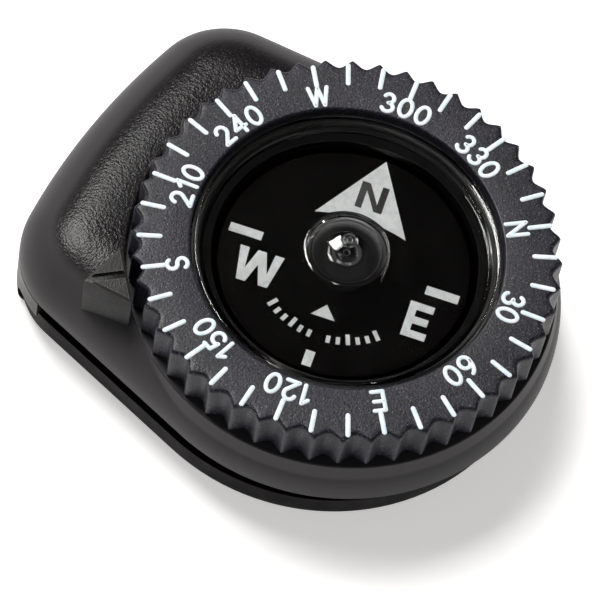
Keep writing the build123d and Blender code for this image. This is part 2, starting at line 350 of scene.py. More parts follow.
clip_plastic = moulded_plastic(
    "clip_moulded_nylon", (0.0135, 0.0124, 0.0138), (0.085, 0.070, 0.058), (0.17, 0.24),
    pebble=0.14, depth=0.025, mottle=0.5, speck=0.45, edge=0.2, sheen=0.14,
    satin_and_sheen_below=(deck_top - 0.58, deck_top - 0.12),
)
# paler base than the deck's nylon: partly a painted reflection of the white table on the sides
side_nylon_painted_sheen = moulded_plastic(
    "clip_satin_nylon_painted_sheen", (0.018, 0.0168, 0.018), (0.085, 0.074, 0.066), (0.42, 0.55),
    pebble=0.13, depth=0.008, mottle=0.3, speck=0.3, edge=0.2, rounding=0.08, sheen=0.48,
)
# near-black base: painted shade, standing in for the deep shadow the jaw sits in under the shell
jaw_nylon_painted_shade = moulded_plastic(
    "jaw_nylon_painted_shade_matt", (0.0045, 0.0035, 0.004), (0.030, 0.013, 0.008), (0.5, 0.62),
    pebble=0.13, depth=0.006, speck=0.15, edge=0.25, rounding=0.08, sheen=0.08,
)
bezel_plastic = moulded_plastic(
    "bezel_fine_grain", (0.0185, 0.0168, 0.0275), (0.16, 0.155, 0.17), (0.34, 0.46),
    pebble=0.105, depth=0.014, mottle=0.8, speck=0.8, edge=0.16, sheen=0.27,
)
pointer_plastic = moulded_plastic(
    "pointer_insert", (0.0085, 0.0080, 0.0085), (0.15, 0.14, 0.135), (0.34, 0.46),
    pebble=0.11, depth=0.012, mottle=0.5, speck=0.3, edge=0.14, sheen=0.2,
)
cup_plastic = moulded_plastic(
    "capsule_polished_black", (0.0025, 0.0023, 0.0026), (0.02, 0.02, 0.02), (0.06, 0.14),
    pebble=0.5, depth=0.003, edge=0,
)
print("moulded plastics:", [m.name for m in bpy.data.materials if m.name.count("_")])

# %% [markdown]
# ## Clear window, inks, metals and the bearing
#
# The window is clear acrylic, so it is a refracting shader and not a see-through colour. The marks
# are a thick white stamping foil: almost matt, slightly uneven, and faintly blue on the bezel. The
# sealed parts get plain workshop finishes: ground steel, cast magnet alloy, turned brass, moulded
# rubber and a red-brown bearing stone.


# %% Mix the window
def clear_acrylic(name, ior, rough):
    material, tree, shader = shader_base(name, IOR=ior, Transmission_Weight=1.0)
    shader.inputs["Base Color"].default_value = (0.985, 0.99, 0.988, 1)
    haze = grain(tree, 2.5, 2.0)
    tree.links.new(ramp(tree, haze, 0.3, 0.7, rough[0], rough[1]), shader.inputs["Roughness"])
    wave = grain(tree, 3.0, 1.0)
    bumps(tree, shader, [(wave, 0.004, 0.4)])
    return material


window_clear = clear_acrylic("window_clear_acrylic", 1.49, (0.0, 0.012))


# %% Mix the inks and the metals
def stamped_ink(name, colour, shade, rough=(0.42, 0.6)):
    material, tree, shader = shader_base(name, IOR=1.45)
    cloud = grain(tree, 0.35, 3.0)
    fleck = grain(tree, 0.07, 2.0)
    base = blend(tree, ramp(tree, cloud, 0.35, 0.65, 0, 1), shade, colour)
    base = blend(tree, ramp(tree, fleck, 0.62, 0.75, 0, 0.35), base, shade)
    tree.links.new(base, shader.inputs["Base Color"])
    tree.links.new(ramp(tree, cloud, 0.3, 0.7, rough[0], rough[1]), shader.inputs["Roughness"])
    bumps(tree, shader, [(fleck, 0.008, 0.7)])
    return material


def bare_metal(name, colour, dull, rough, brushed=(1, 1, 1), size=0.2):
    material, tree, shader = shader_base(name, Metallic=1.0)
    line = grain(tree, size, 3.0, stretch=brushed)
    cloud = ramp(tree, grain(tree, 1.5, 3.0), 0.35, 0.7, 0, 1)
    tree.links.new(blend(tree, cloud, colour, dull), shader.inputs["Base Color"])
    tree.links.new(ramp(tree, line, 0.3, 0.7, rough[0], rough[1]), shader.inputs["Roughness"])
    bumps(tree, shader, [(line, 0.004, 0.6)], 0.04)
    return material


def soft_body(name, colour, light, rough, size, depth, **settings):
    material, tree, shader = shader_base(name, **settings)
    cloud = grain(tree, size, 3.0)
    paint = blend(tree, ramp(tree, cloud, 0.3, 0.7, 0, 1), colour, light)
    tree.links.new(paint, shader.inputs["Base Color"])
    tree.links.new(ramp(tree, cloud, 0.3, 0.7, rough[0], rough[1]), shader.inputs["Roughness"])
    bumps(tree, shader, [(grain(tree, size / 3, 2.0), depth, 0.6)], 0.03)
    return material


bezel_ink = stamped_ink("bezel_white_foil", (0.90, 0.96, 0.99), (0.72, 0.84, 0.92))
card_ink = stamped_ink("card_white_print", (0.93, 0.95, 0.95), (0.80, 0.83, 0.84))
card_black_ink = stamped_ink(
    "card_black_print", (0.010, 0.009, 0.009), (0.014, 0.012, 0.012), (0.3, 0.4),
)
steel = bare_metal("needle_ground_steel", (0.62, 0.62, 0.63), (0.45, 0.45, 0.47), (0.16, 0.3), (1, 1, 8))
brass = bare_metal("weight_turned_brass", (0.78, 0.56, 0.24), (0.55, 0.38, 0.16), (0.2, 0.38))
magnet = bare_metal("magnet_cast_alloy", (0.24, 0.235, 0.23), (0.15, 0.145, 0.14), (0.38, 0.6), size=0.3)
spring_steel = bare_metal(
    "snap_ring_steel", (0.55, 0.55, 0.56), (0.38, 0.38, 0.40), (0.22, 0.4), (1, 1, 6),
)
rubber = soft_body("gasket_rubber", (0.012, 0.012, 0.012), (0.022, 0.021, 0.02), (0.55, 0.75), 0.6, 0.01)
stone = soft_body(
    "bearing_stone", (0.16, 0.010, 0.012), (0.28, 0.03, 0.02), (0.05, 0.12), 0.4, 0.001, IOR=1.76,
)
card_black = soft_body(
    "card_satin_black", (0.0016, 0.0013, 0.0013), (0.0028, 0.0022, 0.0021), (0.55, 0.65), 0.5, 0.003,
    Specular_IOR_Level=0.04,
)
hub_black = soft_body(
    "hub_polished_black", (0.0016, 0.0016, 0.0018), (0.003, 0.003, 0.0033), (0.05, 0.10), 0.8, 0.001,
)


def paint_highlight_rings(material, rings, colour):
    """Paints highlight rings round the axis, each from one radius to another in millimetres."""
    tree = material.node_tree
    paint = tree.nodes["Principled BSDF"].inputs["Base Color"]
    flat = {0: object_point(tree), 1: (1, 1, 0)}
    flat = add_node(tree, "ShaderNodeVectorMath", flat, operation="MULTIPLY").outputs["Vector"]
    reach = add_node(tree, "ShaderNodeVectorMath", {0: flat}, operation="LENGTH").outputs["Value"]
    base = paint.links[0].from_socket
    for inner, outer in rings:
        half = (outer - inner) / 2 * MM
        away = maths(tree, "ABSOLUTE", maths(tree, "SUBTRACT", reach, (inner + outer) / 2 * MM))
        base = blend(tree, ramp(tree, away, half * 0.5, half, 1, 0), base, colour)
    tree.links.new(base, paint)


# painted highlights: pale rings on the hub's top stand in for the glints off its turned steps
paint_highlight_rings(hub_black, [(0.12, 0.24), (0.62, 0.86)], (0.05, 0.05, 0.054))
table_white, tree, shader = shader_base("table_white_card", Roughness=0.75, Emission_Strength=0.48)
shader.inputs["Emission Color"].default_value = TENT_TINT
cloud = ramp(tree, grain(tree, 40, 3.0), 0.3, 0.7, 0, 1)
paper = blend(tree, cloud, (0.90, 0.895, 0.893), (0.915, 0.91, 0.908))
tree.links.new(paper, shader.inputs["Base Color"])
bumps(tree, shader, [(grain(tree, 1.2, 3.0), 0.02, 0.2)])
table.data.materials.append(table_white)
print(len(bpy.data.materials), "materials mixed")

# %% [markdown]
# ## Turned shapes
#
# A turned part is drawn as half of its section, as a lathe operator would. Each corner of the
# section carries its own rounding, since no moulded edge is truly sharp and the light line along a
# rounded edge is what makes small plastic look real. The section is then swept round the axis.


# %% Define the lathe
def rounded(corners, steps=5, closed=True):
    """Section through corners of (radius, height, rounding); each corner becomes a small curve."""
    out = []
    count = len(corners)
    for i, corner in enumerate(corners):
        here = Vector(corner[:2])
        size = corner[2] if len(corner) > 2 else 0
        if not size or (not closed and i in (0, count - 1)):
            out.append(tuple(here))
            continue
        before = Vector(corners[i - 1][:2]) - here
        after = Vector(corners[(i + 1) % count][:2]) - here
        half = before.angle(after) / 2
        reach = min(size / math.tan(half), before.length * 0.49, after.length * 0.49)
        start, end = here + before.normalized() * reach, here + after.normalized() * reach
        for k in range(steps + 1):
            t = k / steps
            out.append(tuple(start * (1 - t) ** 2 + here * 2 * t * (1 - t) + end * t**2))
    return out


def plain_mesh(name, points, faces, sharp_angle=35):
    """A closed mesh in metres from points in millimetres, merged and facing outwards."""
    mesh = bpy.data.meshes.new(name)
    mesh.from_pydata([Vector(p) * MM for p in points], [], faces)
    bm = bmesh.new()
    bm.from_mesh(mesh)
    bmesh.ops.remove_doubles(bm, verts=bm.verts, dist=1e-4 * MM)
    bmesh.ops.dissolve_degenerate(bm, edges=bm.edges, dist=1e-4 * MM)
    bmesh.ops.recalc_face_normals(bm, faces=bm.faces)
    bm.to_mesh(mesh)
    bm.free()
    mesh.shade_smooth()
    mesh.set_sharp_from_angle(angle=math.radians(sharp_angle))
    return add_object(name, mesh)


def quads(rings, size, closed=False):
    """Quads between one ring of size points and the next, and from the last to the first if closed."""
    faces = []
    for i in range(rings if closed else rings - 1):
        j = (i + 1) % rings
        for k in range(size):
            n = (k + 1) % size
            faces.append((i * size + k, i * size + n, j * size + n, j * size + k))
    return faces


def capped(rings, size):
    """The same, with the first and the last ring filled in."""
    last = (rings - 1) * size
    return [tuple(range(size))[::-1], tuple(range(last, last + size))] + quads(rings, size)


def lathe(name, section, segments=192, closed=True):
    points = []
    for radius, height in section:
        for k in range(segments):
            a = 2 * math.pi * k / segments
            points.append((radius * math.cos(a), radius * math.sin(a), height))
    return plain_mesh(name, points, quads(len(section), segments, closed))


def fit(obj, body, material=None, stands_for=()):
    """Gives a finished piece its finish, its body and the nodes that it stands for."""
    if material is not None:
        obj.data.materials.clear()
        obj.data.materials.append(material)
    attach(obj, body)
    if stands_for:
        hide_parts(*stands_for)
    print(obj.name, "rides", body, "with", len(obj.data.polygons), "faces")
    return obj


# %% [markdown]
# ## Geometry Nodes: a small kit
#
# The bezel's flutes and its degree bars repeat round a circle, which is what Geometry Nodes are
# for. Each tree is written here with named inputs. It runs once on a carrier mesh, the result is
# frozen into a plain mesh, and the carrier goes away, so nothing stays live in the finished piece.


# %% Define the node kit
class Tree:
    """Writes a geometry tree: named inputs, then nodes wired by short calls."""

    def __init__(self, name, inputs):
        self.group = bpy.data.node_groups.new(name, "GeometryNodeTree")
        face = self.group.interface
        face.new_socket(name="Geometry", in_out="INPUT", socket_type="NodeSocketGeometry")
        face.new_socket(name="Geometry", in_out="OUTPUT", socket_type="NodeSocketGeometry")
        self.identifiers = {}
        for label, kind in inputs.items():
            socket = face.new_socket(name=label, in_out="INPUT", socket_type="NodeSocket" + kind)
            self.identifiers[label] = socket.identifier
        self.source = self.group.nodes.new("NodeGroupInput")
        self.sink = self.group.nodes.new("NodeGroupOutput")

    def given(self, label):
        return self.source.outputs[label]

    def node(self, kind, inputs=None, **settings):
        return add_node(self.group, kind, inputs, **settings)

    def math(self, operation, *values):
        return maths(self.group, operation, *values)

    def finish(self, geometry, material):
        solid = self.node("GeometryNodeRealizeInstances", {0: geometry}).outputs[0]
        painted = self.node("GeometryNodeSetMaterial", {"Geometry": solid, "Material": material})
        self.group.links.new(painted.outputs[0], self.sink.inputs[0])

    def run(self, carrier, values):
        modifier = carrier.modifiers.new("tree", "NODES")
        modifier.node_group = self.group
        for label, value in values.items():
            modifier[self.identifiers[label]] = value
        graph = bpy.context.evaluated_depsgraph_get()
        frozen = bpy.data.meshes.new_from_object(carrier.evaluated_get(graph), depsgraph=graph)
        carrier.modifiers.remove(modifier)
        carrier.data = frozen
        return carrier


print("node kit ready")

# %% [markdown]
# ## Bezel ring
#
# The real bezel is a moulded ring with forty-eight scallops for the thumb. It could be modelled by
# cutting forty-eight grooves, but a cut leaves hard lines. Here the ring is turned plain with its
# top edge already rounded, and a tree pulls its rim inwards by a wave, fading to nothing on the
# flat top, so that the rounded edge follows every scallop as the moulded one does.

# %% Turn the plain ring
groove_gap = 0.04  # round the snap ring
FLUTES = 48
FLUTE_DEPTH = 0.5
FADE_FROM, FADE_TO = 1.5, 0.45  # inside the tips, where the flutes begin and are whole
bezel_section = rounded([
    (bezel_bore, bezel_bottom, 0.08),
    (bezel_bore, snap_bottom - groove_gap),
    (snap_outer + groove_gap, snap_bottom - groove_gap),
    (snap_outer + groove_gap, snap_top + groove_gap),
    (bezel_bore, snap_top + groove_gap),
    (bezel_bore, bezel_top, 0.14),
    *[(bezel_tip - inside, bezel_top) for inside in (FADE_FROM, 1.2, 0.9, 0.6)],
    (bezel_tip, bezel_top, 0.30),
    (bezel_tip, bezel_bottom, 0.12),
    (bezel_tip - 0.6, bezel_bottom),
    (bezel_tip - FADE_FROM, bezel_bottom),
])
bezel = lathe("bezel_ring_fluted", bezel_section, segments=FLUTES * 16)


# %% Grow the tree that flutes the rim
def flute_tree(material):
    t = Tree("flute_the_rim", {
        "Flutes": "Float", "Depth": "Float", "North": "Float", "Fade From": "Float", "Fade To": "Float",
    })
    place = t.node("GeometryNodeInputPosition").outputs[0]
    parts = t.node("ShaderNodeSeparateXYZ", {0: place}).outputs
    angle = t.math("SUBTRACT", t.math("ARCTAN2", parts[1], parts[0]), t.given("North"))
    turns = t.math("DIVIDE", t.math("MULTIPLY", angle, t.given("Flutes")), 2 * math.pi)
    off_valley = t.math("MULTIPLY", t.math("PINGPONG", turns, 0.5), 2.0)
    wave = t.math("COSINE", t.math("MULTIPLY", off_valley, math.pi))
    soft = t.math("MULTIPLY_ADD", wave, 0.5, 0.5)
    scallop = t.math("SUBTRACT", 1.0, t.math("MULTIPLY", off_valley, off_valley))
    shape = t.math("MULTIPLY", t.math("ADD", soft, scallop), 0.5)
    flat = t.node("ShaderNodeVectorMath", {0: place, 1: (1, 1, 0)}, operation="MULTIPLY").outputs[0]
    reach = t.node("ShaderNodeVectorMath", {0: flat}, operation="LENGTH").outputs["Value"]
    outwards = t.node("ShaderNodeVectorMath", {0: flat}, operation="NORMALIZE").outputs[0]
    fade = t.node("ShaderNodeMapRange", {
        "Value": reach, "From Min": t.given("Fade From"), "From Max": t.given("Fade To"),
        "To Min": 0.0, "To Max": 1.0,
    }, interpolation_type="SMOOTHSTEP").outputs["Result"]
    inwards = t.math("MULTIPLY", t.given("Depth"), -1.0)
    pull = t.math("MULTIPLY", t.math("MULTIPLY", shape, fade), inwards)
    offset = t.node("ShaderNodeVectorMath", {0: outwards, "Scale": pull}, operation="SCALE").outputs[0]
    moved = t.node("GeometryNodeSetPosition", {"Geometry": t.given("Geometry"), "Offset": offset})
    t.finish(moved.outputs[0], material)
    return t


flute_tree(bezel_plastic).run(bezel, {
    "Flutes": float(FLUTES), "Depth": FLUTE_DEPTH * MM, "North": math.radians(BEZEL_NORTH),
    "Fade From": (bezel_tip - FADE_FROM) * MM, "Fade To": (bezel_tip - FADE_TO) * MM,
})
fit(bezel, "bezel", stands_for=["bezel_ring"])

# %% [markdown]
# ## Strokes
#
# The bars and the figures on the bezel are stamped in foil, with round ends and a slightly crowned
# top. A font would give the wrong thick and thin strokes, so each figure is a few centre lines, and
# one helper sweeps a low half-oval along a line and closes it with a round end.


# %% Define a foil stroke
FOIL_HALF_WIDTH = 0.125
FOIL_RISE = 0.045
FOIL_SINK = 0.03


def stroke(path, half_width, rise, sink, ring=10, cap=4):
    """Points and faces of one raised stroke along path, which is a list of (x, y)."""
    lines = [Vector(p) for p in path]
    stations = []
    for i, here in enumerate(lines):
        ahead = (lines[min(i + 1, len(lines) - 1)] - lines[max(i - 1, 0)]).normalized()
        stations.append((here, ahead, 1.0))
    (start, start_way, _), (end, end_way, _) = stations[0], stations[-1]
    for k in range(1, cap + 1):
        a = math.pi / 2 * k / cap
        out, width = half_width * math.sin(a), max(math.cos(a), 0.02)
        stations.insert(0, (start - start_way * out, start_way, width))
        stations.append((end + end_way * out, end_way, width))
    points = []
    for here, ahead, width in stations:
        side = Vector((-ahead.y, ahead.x))
        for k in range(ring):
            a = 2 * math.pi * k / ring
            level = math.sin(a) * (rise if math.sin(a) > 0 else sink)
            spot = here + side * half_width * width * math.cos(a)
            points.append((spot.x, spot.y, level * (0.4 + 0.6 * width)))
    return points, capped(len(stations), ring)


def split_corners(path, limit=35):
    """Cuts a centre line at its sharp corners, where the foil overlaps itself."""
    runs, run = [], [path[0]]
    for i in range(1, len(path)):
        run.append(path[i])
        if i + 1 < len(path):
            before = Vector(path[i]) - Vector(path[i - 1])
            after = Vector(path[i + 1]) - Vector(path[i])
            if math.degrees(before.angle(after, 0)) > limit:
                runs.append(run)
                run = [path[i]]
    return runs + [run]


class Shape:
    """Collects the points and faces of many small closed shells into one piece."""

    def __init__(self):
        self.points, self.faces = [], []

    def add(self, points, faces, place=None):
        start = len(self.points)
        self.points += [tuple(place @ Vector(p)) if place else tuple(p) for p in points]
        self.faces += [tuple(start + k for k in face) for face in faces]

    def mesh(self, name, sharp_angle=35):
        return plain_mesh(name, self.points, self.faces, sharp_angle)


def local_frame(angle, radius, height):
    """Local x runs clockwise round the dial, local y outwards and local z up."""
    a = math.radians(angle)
    out = Vector((math.cos(a), math.sin(a), 0))
    along = Vector((math.sin(a), -math.cos(a), 0))
    axes = Matrix((along, out, Vector((0, 0, 1)))).transposed().to_4x4()
    return Matrix.Translation(out * radius + Vector((0, 0, height))) @ axes


print("stroke kit ready")

# %% [markdown]
# ## Degree bars
#
# Thirty-six bars stand round the bezel, one for every ten degrees. Every third one is a hair nearer
# the middle. One bar is made, and a tree sets thirty-six points on the circle, turns an
# instance of the bar on each, and makes the instances real, so that the spacing is exact.

# %% Make one bar and set thirty-six
BAR_LENGTH = 1.45
BAR_MIDDLE = bezel_tip - 1.05
BAR_HALF_WIDTH = FOIL_HALF_WIDTH * 1.14
INWARD_STEP = 0.1  # of every third bar
bar_points, bar_faces = stroke(
    [(0, -BAR_LENGTH / 2 + FOIL_HALF_WIDTH), (0, BAR_LENGTH / 2 - FOIL_HALF_WIDTH)],
    BAR_HALF_WIDTH, FOIL_RISE, FOIL_SINK,
)
one_bar = plain_mesh("one_bar", bar_points, bar_faces)


def bar_tree(material):
    t = Tree("set_the_bars", {
        "Bar": "Object", "Count": "Int", "Radius": "Float", "Inward Step": "Float",
        "Height": "Float", "North": "Float",
    })
    index = t.node("GeometryNodeInputIndex").outputs[0]
    step = t.math("DIVIDE", 2 * math.pi, t.given("Count"))
    angle = t.math("SUBTRACT", t.given("North"), t.math("MULTIPLY", index, step))
    third = t.math("LESS_THAN", t.math("MODULO", index, 3.0), 0.5)
    radius = t.math("SUBTRACT", t.given("Radius"), t.math("MULTIPLY", third, t.given("Inward Step")))
    spot = t.node("ShaderNodeCombineXYZ", {
        0: t.math("MULTIPLY", t.math("COSINE", angle), radius),
        1: t.math("MULTIPLY", t.math("SINE", angle), radius),
        2: t.given("Height"),
    }).outputs[0]
    points = t.node("GeometryNodePoints", {"Count": t.given("Count"), "Position": spot}).outputs[0]
    turn = t.node("ShaderNodeCombineXYZ", {2: t.math("SUBTRACT", angle, math.pi / 2)}).outputs[0]
    bar = t.node("GeometryNodeObjectInfo", {"Object": t.given("Bar")}).outputs["Geometry"]
    on_points = {"Points": points, "Instance": bar, "Rotation": turn}
    placed = t.node("GeometryNodeInstanceOnPoints", on_points)
    t.finish(placed.outputs[0], material)
    return t


bars = plain_mesh("bezel_degree_bars", [], [])
bar_tree(bezel_ink).run(bars, {
    "Bar": one_bar, "Count": 36, "Radius": BAR_MIDDLE * MM, "Inward Step": INWARD_STEP * MM,
    "Height": bezel_top * MM, "North": math.radians(BEZEL_NORTH),
})
bpy.data.objects.remove(one_bar)
fit(bars, "bezel")

# %% [markdown]
# ## Figures on the bezel
#
# The dial reads clockwise in steps of thirty degrees, with the four directions as letters. Each
# figure is drawn on a square of unit height, then every character is turned by itself so that the
# row follows the circle.


# %% Draw the figures
def arc(x, y, rx, ry, start, end, steps=14):
    out = []
    for k in range(steps + 1):
        a = math.radians(start + (end - start) * k / steps)
        out.append((x + rx * math.cos(a), y + ry * math.sin(a)))
    return out


FIGURES = {
    "0": (0.60, [arc(0.30, 0.5, 0.30, 0.5, 90, 450, 26)]),
    "1": (0.34, [[(0.02, 0.76), (0.28, 1.0), (0.28, 0.0)]]),
    "2": (0.58, [arc(0.28, 0.70, 0.27, 0.30, 168, -38) + [(0.0, 0.0), (0.58, 0.0)]]),
    "3": (0.56, [arc(0.27, 0.745, 0.24, 0.255, 155, -85), arc(0.27, 0.25, 0.28, 0.25, 88, -158)]),
    "4": (0.64, [[(0.46, 0.0), (0.46, 1.0), (0.0, 0.3), (0.62, 0.3)]]),
    "5": (0.56, [[(0.52, 1.0), (0.12, 1.0), (0.06, 0.54)], arc(0.27, 0.32, 0.29, 0.32, 136, -152)]),
    "6": (0.58, [arc(0.29, 0.31, 0.28, 0.31, 90, 450, 24), arc(0.50, 0.31, 0.49, 0.72, 180, 108, 10)]),
    "N": (0.64, [[(0.0, 0.0), (0.0, 1.0), (0.64, 0.0), (0.64, 1.0)]]),
    "E": (0.54, [[(0.54, 1.0), (0.0, 1.0), (0.0, 0.0), (0.54, 0.0)], [(0.0, 0.52), (0.48, 0.52)]]),
    "S": (0.56, [arc(0.28, 0.745, 0.26, 0.255, 32, 272), arc(0.28, 0.245, 0.28, 0.245, 88, -150)]),
    "W": (0.94, [[(0.0, 1.0), (0.24, 0.0), (0.47, 1.0), (0.70, 0.0), (0.94, 1.0)]]),
}
DIAL = ["N", "30", "60", "E", "120", "150", "S", "210", "240", "W", "300", "330"]
FIGURE_BASE = 9.22  # radius of the figures' feet
FIGURE_HEIGHT = 1.17  # between centre lines
FIGURE_GAP = 0.36


def write_round(shape, text, bearing):
    widths = [FIGURES[c][0] * FIGURE_HEIGHT for c in text]
    total = sum(widths) + FIGURE_GAP * (len(text) - 1)
    middle_radius = FIGURE_BASE + FIGURE_HEIGHT * 0.45
    run = -total / 2
    for character, width in zip(text, widths):
        angle = BEZEL_NORTH - bearing - math.degrees((run + width / 2) / middle_radius)
        place = local_frame(angle, FIGURE_BASE, bezel_top)
        for path in FIGURES[character][1]:
            sized = [(x * FIGURE_HEIGHT - width / 2, y * FIGURE_HEIGHT) for x, y in path]
            for piece in split_corners(sized):
                shape.add(*stroke(piece, FOIL_HALF_WIDTH, FOIL_RISE, FOIL_SINK), place)
        run += width + FIGURE_GAP


figures = Shape()
for number, text in enumerate(DIAL):
    write_round(figures, text, 30 * number)
fit(figures.mesh("bezel_figures"), "bezel", bezel_ink)

# %% [markdown]
# ## Clip housing
#
# The upper shell is one moulding: a deck that rolls over into its sides, a round recess for the
# bezel and a pocket for the capsule. Its outline is a round end, two leaning flanks, two corners
# and a shallow arch. Cutting holes into a block would leave ragged edges, so the shell is swept
# round the bezel's axis: for every direction the outline says how far the surface reaches, and a
# section of the same number of points is drawn out to it. The edges are rounded in the section.


# %% Measure the outline in any direction
ROUND_END = housing_high.x / MM
CLIP_END = housing_high.y / MM
ARCH, CORNER = 42.0, 5.0  # radii of the clip end's arch and of its corners
LEAN = math.radians(9.5)  # of each flank


def corner_centre():
    across = ROUND_END - CORNER
    start = Vector((across * math.cos(LEAN), across * math.sin(LEAN)))
    arch_y = CLIP_END - ARCH
    b = -start.x * math.sin(LEAN) + (start.y - arch_y) * math.cos(LEAN)
    c = start.x**2 + (start.y - arch_y) ** 2 - (ARCH - CORNER) ** 2
    run = -b + math.sqrt(b * b - c)
    return start + Vector((-math.sin(LEAN), math.cos(LEAN))) * run


CORNER_CENTRE = corner_centre()
ARCH_ANGLE = math.atan2(CORNER_CENTRE.y - (CLIP_END - ARCH), CORNER_CENTRE.x)


def reach_circle(ray, centre, radius):
    along = ray.dot(centre)
    return along + math.sqrt(max(along**2 - centre.length_squared + radius**2, 0))


def outline_reach(angle, inset):
    """Distance from the axis to the outline, drawn in by inset, in a direction in radians."""
    ray = Vector((abs(math.cos(angle)), math.sin(angle)))
    theta = math.atan2(ray.y, ray.x)
    corner = CORNER - inset
    flank_end = CORNER_CENTRE + Vector((math.cos(LEAN), math.sin(LEAN))) * corner
    arch_start = CORNER_CENTRE + Vector((math.cos(ARCH_ANGLE), math.sin(ARCH_ANGLE))) * corner
    if theta <= LEAN:
        return ROUND_END - inset
    if theta <= math.atan2(flank_end.y, flank_end.x):
        return (ROUND_END - inset) / math.cos(theta - LEAN)
    if theta <= math.atan2(arch_start.y, arch_start.x):
        return reach_circle(ray, CORNER_CENTRE, corner)
    return reach_circle(ray, Vector((0, CLIP_END - ARCH)), ARCH - inset)


print("outline reaches", [round(outline_reach(math.radians(a), 0), 2) for a in (-90, 0, 45, 60, 90)])

# %% Sweep the shell
ROLL = 3.4  # height of the deck's rolled edge
CROWN = 4.4  # the deck starts to fall this far inside the outline
FULLNESS = 2.4  # two would be an ellipse
SKIRT_DRAFT = 0.58  # the lip under the bezel leans in by this much
LIP_ROUND = 0.06
LEDGE = bezel_bottom - 0.1
RECESS = bezel_tip + 0.12
POCKET_FLOOR = cup_bottom
POCKET = cup_radius + 0.03
POCKET_EDGE = 0.08
SHELL_EDGE = 0.16  # rounding where the deck meets the recess
SLOT_EDGE = 0.12
roll_start = deck_top - ROLL


def roll_point(angle, phi):
    """The rolled edge of the deck: phi is nought on the deck and a right angle on the side."""
    run = math.sin(phi)
    fall = (1 - min(run, 1.0) ** FULLNESS) ** (1 / FULLNESS)
    return outline_reach(angle, CROWN * (1 - run)), roll_start + ROLL * fall


def skirt(radius, height):
    """The lip under the bezel stands out to this line where the rolled edge has gone in."""
    if height > LEDGE + 1e-6:
        return radius
    share = (height - slot_top) / (LEDGE - slot_top)
    near_top = min(max((height - LEDGE) / LIP_ROUND + 1, 0.0), 1.0)
    lip = LIP_ROUND * (1 - math.sqrt(1 - near_top**2))
    return max(radius, ROUND_END - SKIRT_DRAFT * share - lip)


def shell_section(angle, wall_steps=6, roll_steps=30):
    ledge_share = (LEDGE - roll_start) / ROLL
    lowest = math.asin((1 - ledge_share**FULLNESS) ** (1 / FULLNESS))
    start = 0.0
    if outline_reach(angle, CROWN) < RECESS:
        low, high = 0.0, lowest
        for _ in range(40):
            middle = (low + high) / 2
            low, high = (middle, high) if roll_point(angle, middle)[0] < RECESS else (low, middle)
        start = (low + high) / 2
    stands = start < lowest - 1e-4
    start = min(start, lowest)
    edge_radius, edge_height = roll_point(angle, start)
    inner = RECESS if stands else skirt(edge_radius, LEDGE)
    wall = max(edge_height - LEDGE, 0.0) if stands else 0.0
    ease = min(SHELL_EDGE, wall * 0.45)
    rows = [(0.0, POCKET_FLOOR), (POCKET - 0.1, POCKET_FLOOR), (POCKET, POCKET_FLOOR + 0.1)]
    rows += [(POCKET, LEDGE - POCKET_EDGE), (POCKET + POCKET_EDGE, LEDGE)]
    rows += [(POCKET + (inner - 0.12 - POCKET) * k / 4, LEDGE) for k in range(1, 5)]
    rows += [(inner, LEDGE if stands else LEDGE - 0.02)]
    top = LEDGE + wall
    rows += [(inner, LEDGE + max(wall - ease, 0) * k / 2) for k in (1, 2)]
    for k in range(1, wall_steps + 1):
        a = math.pi / 2 * k / wall_steps
        rows.append((inner + ease * (1 - math.cos(a)), top - ease + ease * math.sin(a)))
    for k in range(1, roll_steps + 1):
        phi = start + (math.pi / 2 - start) * k / roll_steps
        radius, height = roll_point(angle, phi)
        rows.append((max(skirt(radius, height), inner + ease), min(height, top)))
    rows += [(skirt(outline_reach(angle, 0), slot_top + SLOT_EDGE), slot_top + SLOT_EDGE)]
    rows += [(outline_reach(angle, 0.03), slot_top + 0.03), (outline_reach(angle, 0.14), slot_top)]
    rows += [(0.0, slot_top)]
    return rows


def sweep_section(name, section_at, segments, sharp_angle=35):
    points, rows = [], 0
    for k in range(segments):
        a = 2 * math.pi * k / segments
        section = section_at(a)
        rows = len(section)
        points += [(r * math.cos(a), r * math.sin(a), z) for r, z in section]
    faces = []
    for k in range(segments):
        n = (k + 1) % segments
        for i in range(rows - 1):
            faces.append((k * rows + i, n * rows + i, n * rows + i + 1, k * rows + i + 1))
    return plain_mesh(name, points, faces, sharp_angle)


housing = sweep_section("clip_housing_shell", shell_section, 720)
fit(housing, "housing", clip_plastic, ["clip_housing"])

# %% [markdown]
# ## Index pointer
#
# A separate arrowhead is pressed into the deck and shows where the bearing is read. Its top has a
# fine bevel and a channel from tip to base. It is a prism, so its outline is drawn once and stacked
# at several heights, drawn in a little more at each to make the bevel.

# %% Build the pointer
POINTER_ANGLE = 135.0
pointer_bottom, pointer_top = heights("index_pointer")
POINTER_GAP = 0.36  # from the bezel's tips to the arrow's base
pointer_base = bezel_tip + POINTER_GAP
pointer_tip = radii("index_pointer")[1]
POINTER_HALF = 1.92
POINTER_SUNK = 0.20  # depth of the channel below the two plates
POINTER_CHANNEL = 0.19  # half its width


def arrow(inset):
    """Corners of the arrowhead drawn in by inset: x outwards from the base, y across."""
    length = pointer_tip - pointer_base
    slope = math.atan2(POINTER_HALF, length)
    tip = length - inset / math.sin(slope)
    half = (tip - inset) * math.tan(slope)
    return [(inset, -half), (tip, 0.0), (inset, half)]


def arrow_rim(inset, rounding=0.12, steps=4):
    corners = [(x, y, rounding) for x, y in arrow(inset)]
    return rounded(corners, steps)


